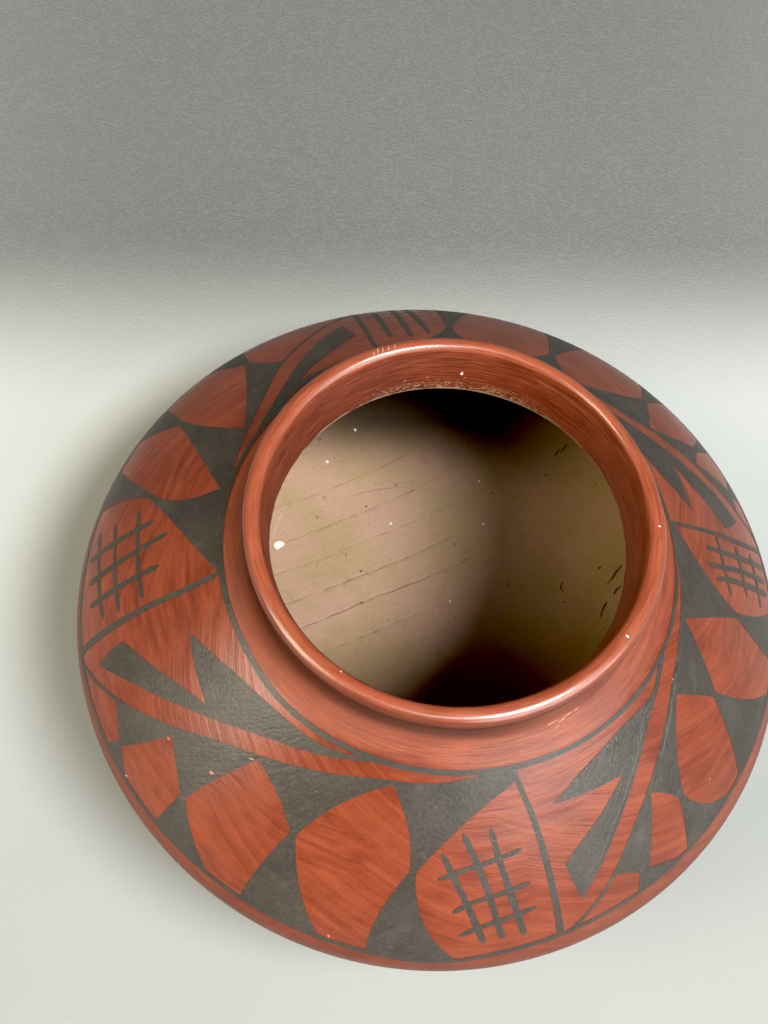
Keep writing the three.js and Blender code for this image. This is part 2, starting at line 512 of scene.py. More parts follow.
CLAY_FINISH = clay_finish()
print(CLAY_FINISH.name, len(CLAY_FINISH.node_tree.nodes), "nodes")

# %% [markdown]
# Chips and cracks
#
# A used jar carries small pale chips, where slip, paint or a grain of temper came away, scuffs, a
# scratch and a few dark cracks inside. They are modelled as thin flakes of their own. Each kind has
# its finish from one function, with a different pair of colours; the scuff finish also colours a few
# pale strokes painted on the neck as glints.

# %% Fleck finishes
FLECK_RELIEF = 0.0002


def fleck_finish(name, dark, light):
    material, shader, wire = new_finish(name)
    grain = place_on_object(wire).grain(900, 3.0, 0.65)
    feed(shader, "Base Color", grain.fade(0.3, 0.7).tint(dark, light))
    feed(shader, "Roughness", 0.6 + grain * 0.3)
    relief(shader, grain, FLECK_RELIEF)
    return material


CHIP_FINISH = fleck_finish("pale_chips", colour(0.58, 0.52, 0.44), colour(0.80, 0.78, 0.73))
SCUFF_AND_GLINT_FINISH = fleck_finish("scuffed_slip_and_glints", colour(0.24, 0.088, 0.058), colour(0.36, 0.18, 0.13))
SCRATCH_FINISH = fleck_finish("pale_scratch", colour(0.36, 0.265, 0.155), colour(0.46, 0.36, 0.235))
CRACK_FINISH = fleck_finish("dark_cracks", colour(0.03, 0.02, 0.011), colour(0.10, 0.066, 0.038))
print("flecks:", [f.name for f in (CHIP_FINISH, SCUFF_AND_GLINT_FINISH, SCRATCH_FINISH, CRACK_FINISH)])

# %% [markdown]
# The uneven wall
#
# A hand-made jar is never true. Slow waves run round its wall and its rim. A groove with a small
# burr goes round the neck, the wall is undercut below the lip, and the lip is fullest in front. One
# function of azimuth and climb holds all of this, so that slip, paint and clay move together and the
# coats stay on the wall.

# %% Unevenness, in millimetres
WALL_WAVES = ((0.16, 2, 0.7, 0.02), (0.10, 3, -1.1, -0.03))
RIM_WAVES = ((0.22, 2, 2.0, 0), (0.14, 5, 0.4, 0))
TRUE_FOOT = 25.0
RIM_WAVES_FROM = 80.0
RIM_WAVES_OVER = 20.0
LIP_TOP = 105.0

# Rings that stand out or in: the height, the climb of the middle and the width
GROOVE = (-0.55, 88.8, 0.8)
BURR = (0.08, 86.5, 0.56)
UNDERCUT = (-0.7, 95.0, 3.6)
LIP_BULGE = (1.0, 101.3, 2.5)
FRONT_ROLL = (1.6, 99.0, 2.6)
FRONT_ROLL_TURN = math.radians(268)
FRONT_ROLL_SHARPNESS = 8


def waves(kinds, turn, climb):
    """Waves round the jar, each with its height, its count, where it starts and how it leans."""
    return sum(height * np.sin(count * turn + start + lean * climb)
               for height, count, start, lean in kinds)


def swell(climb, height, middle, width):
    """A height that falls off smoothly to both sides of the middle over that width."""
    return height * np.exp(-((climb - middle) / width) ** 2)


def unevenness(turn, climb):
    """How far the potter's wall stands out of true; turn in radians."""
    wall = waves(WALL_WAVES, turn, climb) * np.clip((climb - FOOT_CLIMB) / TRUE_FOOT, 0, 1)
    rim = waves(RIM_WAVES, turn, climb) * np.clip((climb - RIM_WAVES_FROM) / RIM_WAVES_OVER, 0, 1)
    near = 0.6 - 0.4 * np.sin(turn)  # 1 in front, 0.2 behind
    front = (0.5 + 0.5 * np.cos(turn - FRONT_ROLL_TURN)) ** FRONT_ROLL_SHARPNESS
    lip = near * swell(climb, *LIP_BULGE) + front * swell(climb, *FRONT_ROLL)
    rings = swell(climb, *GROOVE) + swell(climb, *UNDERCUT) + swell(climb, *BURR)
    return wall + rim + rings + lip


round_the_lip = unevenness(np.linspace(0, 2 * math.pi, 200), LIP_TOP)
print(f"uneven by up to {np.abs(round_the_lip).max():.2f} mm at the top of the lip")

# %% [markdown]
# From a section to a piece
#
# Most of the jar is turned about one axis, so most pieces are a section spun round it. The spin
# only needs a few vertices in one plane. Each vertex keeps its climb and lift in layers that the
# spin copies, so that it can afterwards be laid on the uneven wall.

# %% Spinning and finishing
SHARP_EDGE = math.radians(38)


def lay_on_jar(bm, turn, climb, lift):
    """Moves every vertex to its azimuth in radians, climb and lift in millimetres."""
    radius, height = on_wall(climb, lift + unevenness(turn, climb))
    places = np.stack([radius * np.cos(turn), radius * np.sin(turn), height], axis=1) * MM
    for vertex, place in zip(bm.verts, places):
        vertex.co = place


def spin_row(bm, row, closed, steps):
    """Joins a row of vertices by edges and spins it once round the axis of the jar."""
    ends = row[1:] + row[:1] if closed else row[1:]
    edges = [bm.edges.new(pair) for pair in zip(row, ends)]
    bmesh.ops.spin(bm, geom=row + edges, cent=(0, 0, 0), axis=(0, 0, 1), angle=2 * math.pi,
                   steps=steps, use_merge=True)


def spin_section(section, steps):
    """Spins a closed section of (climb, lift) points and keeps both numbers in layers."""
    bm = bmesh.new()
    climb_layer = bm.verts.layers.float.new("climb")
    lift_layer = bm.verts.layers.float.new("lift")
    row = []
    for climb, lift in section:
        radius, height = on_wall(climb, lift)
        vertex = bm.verts.new((radius * MM, 0, height * MM))
        vertex[climb_layer] = climb
        vertex[lift_layer] = lift
        row.append(vertex)
    spin_row(bm, row, True, steps)
    turn = np.array([math.atan2(v.co.y, v.co.x) for v in bm.verts])
    climb = np.array([v[climb_layer] for v in bm.verts])
    lift = np.array([v[lift_layer] for v in bm.verts])
    return bm, turn, climb, lift


def mesh_object(bm, name, material):
    """Writes a finished mesh out as an object with one material."""
    mesh = bpy.data.meshes.new(name)
    bm.to_mesh(mesh)
    bm.free()
    mesh.materials.append(material)
    return put_in_scene(name, mesh)


def keep(bm, name, material):
    """Makes the finished mesh a piece that rides on the jar's one body."""
    bmesh.ops.recalc_face_normals(bm, faces=bm.faces[:])
    for face in bm.faces:
        face.smooth = True
    for edge in bm.edges:
        edge.smooth = edge.calc_face_angle(0.0) < SHARP_EDGE
    piece = mesh_object(bm, name, material)
    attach(piece, "root")
    print(name, len(piece.data.polygons), "faces")
    return piece


print("edges sharper than", round(math.degrees(SHARP_EDGE)), "degrees stay sharp")

# %% [markdown]
# The slip coat
#
# The coat is a real layer, a few tenths of a millimetre thick, poured and rubbed over the whole
# outside, over the lip and down the inside of the neck, where it stops in a ragged edge. One closed
# section does it: the outline out to the throat, and the same line back a little deeper.

# %% Slip coat
SLIP_THICKNESS = 0.4
SLIP_STEPS = 300
RAGS = 110
RAG_SEED = 11
RAG_START = 122.0
RAG_DEPTH = 0.5

# Climbs of the rows, closer together in the groove and over the lip
WALL_ROWS = np.arange(FOOT_CLIMB + 0.3, 84, 2.0)
GROOVE_ROWS = np.arange(84.5, 92.1, 0.5)
FLARE_ROWS = np.arange(93.2, 100, 1.2)
LIP_ROWS = np.linspace(100.8, 110, 18)
THROAT_ROWS = np.linspace(111, THROAT_CLIMB - 1.5, 16)


def slip_coat():
    outer = np.concatenate([WALL_ROWS, GROOVE_ROWS, FLARE_ROWS, LIP_ROWS, THROAT_ROWS])
    end = outer[-1]
    inner = [c for i, c in enumerate(outer) if i % 2 == 0 or c in GROOVE_ROWS or c == end]
    section = [(c, 0.0) for c in outer] + [(c, -SLIP_THICKNESS) for c in reversed(inner)]
    bm, turn, climb, lift = spin_section(section, SLIP_STEPS)
    rag = np.random.default_rng(RAG_SEED).normal(0, 1, RAGS)
    rags = np.interp(np.degrees(turn) % 360, np.linspace(0, 360, RAGS), rag, period=360)
    low = np.clip((climb - RAG_START) / (end - RAG_START), 0, 1)
    lay_on_jar(bm, turn, climb + RAG_DEPTH * rags * low, lift)
    return keep(bm, "slip_coat", SLIP_FINISH)


slip_coat()

# %% [markdown]
# The clay rings
#
# Under the slip the jar is a moulded bowl and a stack of coils. They are the nodes of the frame, and
# each one is replaced here by a rounder ring that shows only inside, as bare clay. Every section is
# again climbs and lifts: the outside under the slip, the inside one wall thickness deeper, each seam
# falling toward the inside.

# %% Sections of the rings
WALL = 6.0
FLOOR = 8.0
MOULD_REACH = 35.0
COILS_EACH_SIDE = 5
SEAM_LAP = 4.0
SEAM_GAP = 0.04
HALF_GAP = SEAM_GAP / 2
UNDER_SLIP = -SLIP_THICKNESS - 0.05
UNDER_GROOVE = UNDER_SLIP - 1.7
RING_STEPS = 240
THROAT_COIL = 12.0
RIM_COIL_DROP = 4.5
RIM_SEAM_INSIDE = 6.0
THROAT_SEAM_RISE = 2.0
OUTSIDE_ROWS = 8
INSIDE_ROWS = 9
NECK_OUTSIDE_ROWS = 7
NECK_INSIDE_ROWS = 8
THROAT_EDGE_ROWS = 4
RIM_ROWS = 26


def rows(low, high, count, lift):
    return [(c, lift) for c in np.linspace(low, high, count)]


def wall_coil_section(low, high):
    low, high = low + HALF_GAP, high - HALF_GAP
    outside = rows(low, high, OUTSIDE_ROWS, UNDER_SLIP)
    return outside + rows(high - SEAM_LAP, low - SEAM_LAP, INSIDE_ROWS, -WALL)


def wall_sections():
    """The name of each wall coil with its section of climbs and lifts."""
    seams = {"lower": np.linspace(FOOT_CLIMB + MOULD_REACH, 0, COILS_EACH_SIDE + 1),
             "shoulder": np.linspace(0, ROOT_CLIMB, COILS_EACH_SIDE + 1)}
    sections = {}
    for kind, climbs in seams.items():
        for i, (low, high) in enumerate(zip(climbs, climbs[1:])):
            sections[f"{kind}_coil_{i + 1}"] = wall_coil_section(low, high)
    return sections


def neck_sections():
    """The same for the three coils of the neck."""
    lip_start = climb_at(LIP_MIDDLE.x + LIP_RADIUS, LIP_MIDDLE.y)
    lip_end = climb_at(LIP_MIDDLE.x - LIP_RADIUS, LIP_MIDDLE.y)
    neck_seam = ROOT_CLIMB + THROAT_COIL
    rim_seam = lip_start - RIM_COIL_DROP
    rim_inside = lip_end + RIM_SEAM_INSIDE
    throat_seam = THROAT_CLIMB - THROAT_SEAM_RISE
    throat = rows(ROOT_CLIMB + HALF_GAP, neck_seam - HALF_GAP, NECK_OUTSIDE_ROWS, UNDER_GROOVE)
    throat += rows(throat_seam, THROAT_CLIMB, THROAT_EDGE_ROWS, UNDER_SLIP)
    throat += [(ROOT_CLIMB - SEAM_LAP + HALF_GAP, -WALL)]
    neck = rows(neck_seam + HALF_GAP, rim_seam - HALF_GAP, NECK_OUTSIDE_ROWS, UNDER_GROOVE)
    neck += rows(rim_inside + HALF_GAP, throat_seam - SEAM_GAP, NECK_INSIDE_ROWS, UNDER_SLIP)
    rim = rows(rim_seam + HALF_GAP, rim_inside - HALF_GAP, RIM_ROWS, UNDER_SLIP)
    return {"throat_coil": throat, "neck_coil": neck, "rim_coil": rim}


SECTIONS = wall_sections() | neck_sections()
print(len(SECTIONS), "coil sections and the base bowl")

# %% [markdown]
# Scraped relief and creases
#
# The bare side is never smooth: the fingers leave shallow hollows, and straight creases a dozen
# millimetres apart cross the floor and the lower wall in parallel. The hollows are a slow noise that
# moves the inner vertices. A crease could be bump alone, but it throws a small shadow, so it is cut:
# three planes slice the mesh along it, and the middle line is pressed into the clay.

# %% Relief of the bare clay
HOLLOW_DEPTH = 0.35
HOLLOW_SIZE = 22.0
CREASES = {10.5: 0.4, 21.0: 0.6, 33.5: 0.95, 44.2: 0.95,
           57.0: 0.6, 68.1: 0.75, 80.8: 0.65, 96.8: 0.3}
CREASE_WIDTH = 0.42
CREASE_DEPTH = 0.45
CREASE_ENDS = (-46.0, 50.0)
CREASE_RUN_OUT = 12
CREASE_PATCH = 5
CREASE_WANDER = 1.0
CREASE_BEND = 30
CREASE_WOBBLE = 6
CREASE_PULL = 3.5
ON_CREASE = 1e-3
CUT_NEAR = 1e-7
SCRAPE_ALONG = Vector((math.cos(SCRAPE_TURN), math.sin(SCRAPE_TURN), 0))
SCRAPE_ACROSS = Vector((-SCRAPE_ALONG.y, SCRAPE_ALONG.x, 0))


def hollow(place):
    """Depth of the finger hollows at a place in metres, in millimetres."""
    return HOLLOW_DEPTH * noise.noise(place / (HOLLOW_SIZE * MM))


def crease_share(along, offset):
    """How strong a crease is along its length: it runs out at both ends and is uneven between."""
    inside = min(along - CREASE_ENDS[0], CREASE_ENDS[1] - along) / CREASE_RUN_OUT
    uneven = 0.7 + 0.9 * noise.noise(Vector((along / CREASE_PATCH, offset, 0)))
    return CREASES[offset] * max(0, min(1, inside)) * max(0.15, min(1, uneven))


def crease_wander(along, offset):
    """How far a crease strays from a straight line, in millimetres."""
    bend = noise.noise(Vector((along / CREASE_BEND, offset, 3)))
    wobble = noise.noise(Vector((along / CREASE_WOBBLE, offset, 8)))
    return CREASE_WANDER * (bend + 0.5 * wobble)


def slice_mesh(bm, place, across, near):
    """Cuts every face on the plane through a place; vertices as near as that count as on it."""
    bmesh.ops.bisect_plane(bm, geom=bm.verts[:] + bm.edges[:] + bm.faces[:], dist=near,
                           plane_co=place, plane_no=across)


def cut_creases(bm, is_bare):
    """Presses the parallel creases into the bare faces of a ring and marks them in a layer."""
    crease_layer = bm.verts.layers.float.new("crease")
    for offset in CREASES:
        for shift in (-CREASE_WIDTH, 0, CREASE_WIDTH):
            slice_mesh(bm, SCRAPE_ACROSS * (offset + shift) * MM, SCRAPE_ACROSS, CUT_NEAR)
    bm.normal_update()
    for vertex in bm.verts:
        across = vertex.co.dot(SCRAPE_ACROSS) / MM
        along = vertex.co.dot(SCRAPE_ALONG) / MM
        offset = min(CREASES, key=lambda crease: abs(crease - across))
        off = abs(across - offset)
        if off < CREASE_PULL and is_bare(vertex):
            share = crease_share(along, offset)
            if off < ON_CREASE:
                vertex[crease_layer] = share
                vertex.co -= vertex.normal * CREASE_DEPTH * share * MM
            pull = (1 - (off / CREASE_PULL) ** 2) ** 2
            vertex.co += SCRAPE_ACROSS * crease_wander(along, offset) * pull * MM


print("creases at", list(CREASES), "mm across the scrape")

# %% Clay rings
CREASED = ("lower_coil_1", "lower_coil_2", "lower_coil_3", "lower_coil_4")


def clay_ring(node, section):
    bm, turn, climb, lift = spin_section(section, RING_STEPS)
    bare = lift < -WALL / 2
    lay_on_jar(bm, turn, climb, lift)
    hollows = np.array([hollow(v.co) for v in bm.verts])
    lay_on_jar(bm, turn, climb, lift + np.where(bare, hollows, 0))
    bmesh.ops.recalc_face_normals(bm, faces=bm.faces[:])
    if node in CREASED:
        lift_layer = bm.verts.layers.float["lift"]
        cut_creases(bm, lambda vertex: vertex[lift_layer] < -WALL + 0.01)
    piece = keep(bm, node + "_clay", CLAY_FINISH)
    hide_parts(node)
    return piece


clay_pieces = [clay_ring(node, section) for node, section in SECTIONS.items()]

# %% [markdown]
# The base bowl
#
# The bottom was pressed in a shallow mould, so it is one dished piece with a flat foot. Its section
# ends on the axis at both sides, so the spin closes it as a solid, and the doubled vertices on the
# axis are merged before the normals are worked out.

# %% Base bowl
DISH_ROWS = 26
BOWL_ROWS = 14
FOOT_INSET = 0.6
FOOT_EDGE = 0.5


def base_bowl():
    top = FOOT_CLIMB + MOULD_REACH - HALF_GAP
    edge = Vector(on_wall(top - SEAM_LAP, -WALL))
    dish = bent_line(edge, Vector((FOOT.x, FLOOR)), Vector((0, FLOOR)), DISH_ROWS)
    climbs = np.linspace(FOOT_CLIMB + FOOT_EDGE, top, BOWL_ROWS)
    outside = [Vector(on_wall(c, UNDER_SLIP)) for c in climbs]
    section = [Vector((0, 0)), Vector((FOOT.x - FOOT_INSET, 0))] + outside + dish
    bm = bmesh.new()
    bare_layer = bm.verts.layers.float.new("bare")
    row = []
    for point in section:
        vertex = bm.verts.new((point.x * MM, 0, max(point.y, 0) * MM))
        vertex[bare_layer] = 1.0 if point in dish else 0.0
        row.append(vertex)
    spin_row(bm, row, False, RING_STEPS)
    bmesh.ops.remove_doubles(bm, verts=bm.verts[:], dist=1e-6)
    bmesh.ops.recalc_face_normals(bm, faces=bm.faces[:])
    for vertex in bm.verts:
        if vertex[bare_layer] > 0.5:
            vertex.co += vertex.normal * hollow(vertex.co) * MM
    cut_creases(bm, lambda vertex: vertex[bare_layer] > 0.99)
    piece = keep(bm, "base_bowl_clay", CLAY_FINISH)
    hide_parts("base_bowl")
    return piece


base_piece = base_bowl()

# %% [markdown]
# Stencils for the painting
#
# Each painted figure is drawn flat first, on a stencil whose x runs round the shoulder and whose y
# is the climb. Edges are smooth curves through a few points, or a bowed line between two. A filled
# outline becomes one face, is triangulated and sliced by planes every few millimetres so that it
# can bend, is given its thickness, and is then laid on the jar.

# %% Drawing on the stencil
DEGREE = 1.75
BRUSH_STEP = 1.6
SLICE = 3.0
STENCIL_NEAR = 1e-4
PAINT_SUNK = 0.06
END_SHARE = 0.6
END_REACH = 0.3
HAND = random.Random(5)


def at(theta, climb):
    return Vector((theta * DEGREE, climb))


def curve_through(knots):
    """A smooth run of points through a few knots."""
    line = [knots[0]]
    for i, (a, b) in enumerate(zip(knots, knots[1:])):
        before = knots[max(i - 1, 0)]
        after = knots[min(i + 2, len(knots) - 1)]
        span = (b - a).length
        lean_a = (b - before).normalized() * span / 3
        lean_b = (after - a).normalized() * span / 3
        count = max(2, math.ceil(span / BRUSH_STEP) + 1)
        line += interpolate_bezier(a, a + lean_a, b - lean_b, b, count)[1:]
    return line


def smooth_line(points):
    """A brush line through (azimuth, climb) points, as stencil points."""
    return curve_through([at(*p) for p in points])


def bowed_line(a, b, bulge):
    """A line from a to b that bows to the right of its way by a share of its length."""
    way = b - a
    side = Vector((way.y, -way.x)) * bulge * 4 / 3
    count = max(3, math.ceil(way.length / BRUSH_STEP) + 1)
    return interpolate_bezier(a, a.lerp(b, 1 / 3) + side, a.lerp(b, 2 / 3) + side, b, count)


def way_at(line, i):
    """The direction of a line at one of its points."""
    return (line[min(i + 1, len(line) - 1)] - line[max(i - 1, 0)]).normalized()


def stroke_outline(line, width, unsteady=0.08):
    """The outline of a brush stroke of that width along a line, drawn in and rounded at its ends."""
    left, right = [], []
    for i, point in enumerate(line):
        way = way_at(line, i)
        share = END_SHARE if i in (0, len(line) - 1) else 1
        half = width / 2 * (1 + HAND.uniform(-unsteady, unsteady)) * share
        side = Vector((-way.y, way.x)) * half
        left.append(point + side)
        right.append(point - side)
    start = line[0] + (line[0] - line[1]).normalized() * width * END_REACH
    end = line[-1] + (line[-1] - line[-2]).normalized() * width * END_REACH
    return [start] + left + [end] + right[::-1]


def fill_outline(whole, outline):
    """Adds one filled, sliced and thickened outline to a flat mesh, in stencil millimetres."""
    flat = bmesh.new()
    face = flat.faces.new([flat.verts.new((p.x, p.y, 0)) for p in outline])
    face.normal_update()
    if face.normal.z < 0:
        face.normal_flip()
    bmesh.ops.triangulate(flat, faces=[face])
    for axis in (Vector((1, 0, 0)), Vector((0, 1, 0))):
        reach = [v.co.dot(axis) for v in flat.verts]
        for cut in np.arange(min(reach) + SLICE, max(reach), SLICE):
            slice_mesh(flat, axis * cut, axis, STENCIL_NEAR)
    base = flat.faces[:]
    copy = bmesh.ops.extrude_face_region(flat, geom=flat.faces[:] + flat.edges[:], use_keep_orig=True)
    raised = [v for v in copy["geom"] if isinstance(v, bmesh.types.BMVert)]
    bmesh.ops.translate(flat, verts=raised, vec=(0, 0, 1))
    bmesh.ops.reverse_faces(flat, faces=[f for f in base if f.is_valid])
    mesh = bpy.data.meshes.new("stencil")
    flat.to_mesh(mesh)
    flat.free()
    whole.from_mesh(mesh)
    bpy.data.meshes.remove(mesh)


def painted(name, layers, brush_turn, finish=PAINT_FINISH):
    """A painted figure: each layer is a height in millimetres and the outlines filled to it."""
    whole = bmesh.new()
    stroke_layer = whole.verts.layers.float_vector.new("stroke")
    along = Vector((math.cos(brush_turn), math.sin(brush_turn)))
    places = []
    for top, outline in [(top, outline) for top, outlines in layers for outline in outlines]:
        start = len(whole.verts)
        fill_outline(whole, outline)
        whole.verts.ensure_lookup_table()
        for vertex in whole.verts[start:]:
            flat = vertex.co.xy
            vertex[stroke_layer] = (flat.dot(along), flat.cross(along), 0)
            lift = top if vertex.co.z > 0.5 else -PAINT_SUNK
            places.append((flat.x / DEGREE, flat.y, lift))
    theta, climb, lift = np.array(places).T
    lay_on_jar(whole, np.radians(theta), climb, lift)
    return keep(whole, name, finish)


print("stencil: one degree is", DEGREE, "mm, slices every", SLICE, "mm")

# %% [markdown]
# Lines round the jar
#
# Two lines frame the painting, one under the neck and one at the widest part. A hand-drawn line
# wanders, so each is a small square section spun all the way round, whose climb is then read from
# a smooth line through a few points.

# %% Framing lines
NECK_LINE = ((205, 76.8), (224, 76.4), (241, 75), (281, 75), (301, 74.8), (321, 74.1), (338, 73.7),
             (352, 73.8), (374, 74.6), (430, 75), (500, 75.6), (565, 76.8))
BELLY_LINE = ((205, 5.5), (220, 7), (250, 8), (270, 7.4), (285, 5.8), (295, 8.3), (310, 10.3),
              (330, 11.3), (345, 12), (360, 10.5), (385, 9), (430, 8.5), (480, 8.5), (530, 7.5),
              (565, 5.5))
LINE_START = 205
LINE_STEPS = 360
LINE_TOP = 0.13
WIDTHS_AT = (200, 20)

# Each point's place across the line as a share of its width, and 1 on top or 0 below
LINE_SECTION = ((-0.5, 0), (0, 0), (0.5, 0), (0.5, 1), (0, 1), (-0.5, 1))


def line_climb(line, theta):
    """The climb of a framing line at an azimuth in degrees."""
    drawn = smooth_line(line)
    theta = (np.asarray(theta) - LINE_START) % 360 + LINE_START
    return np.interp(theta, [p.x / DEGREE for p in drawn], [p.y for p in drawn])


def framing_line(name, line, widths):
    """A closed line round the jar; its width goes from one value to the other half way round."""
    bm, turn, share, on_top = spin_section(LINE_SECTION, LINE_STEPS)
    stroke_layer = bm.verts.layers.float_vector.new("stroke")
    theta = np.degrees(turn) % 360
    unsteady = 1 + 0.08 * np.sin(7 * turn) * np.sin(3 * turn + 1)
    offset = share * (np.interp(theta, WIDTHS_AT, widths, period=360) * unsteady)
    for vertex, angle, side in zip(bm.verts, theta, offset):
        vertex[stroke_layer] = (angle * DEGREE, side, 0)
    lift = np.where(on_top > 0.5, LINE_TOP, -PAINT_SUNK)
    lay_on_jar(bm, turn, line_climb(line, theta) + offset, lift)
    return keep(bm, name, PAINT_FINISH)


framing_line("neck_line", NECK_LINE, (2.3, 1.6))
framing_line("belly_line", BELLY_LINE, (1.8, 1.8))

# %% [markdown]
# The four panels
#
# Upright bars divide the shoulder into four panels. Each holds a fork that leans along a red band,
# a dark ground of feathers whose red lobes stand on the belly line, and a last lobe with crossed
# hatching. No two panels are alike, so each is described by its own few points: azimuth in degrees
# round the jar, climb in millimetres. The dark gap between two lobes is given by the place of its
# waist and its width there, the azimuths of its two feet, and how far its four edges bow: upper
# left, upper right, lower left, lower right.

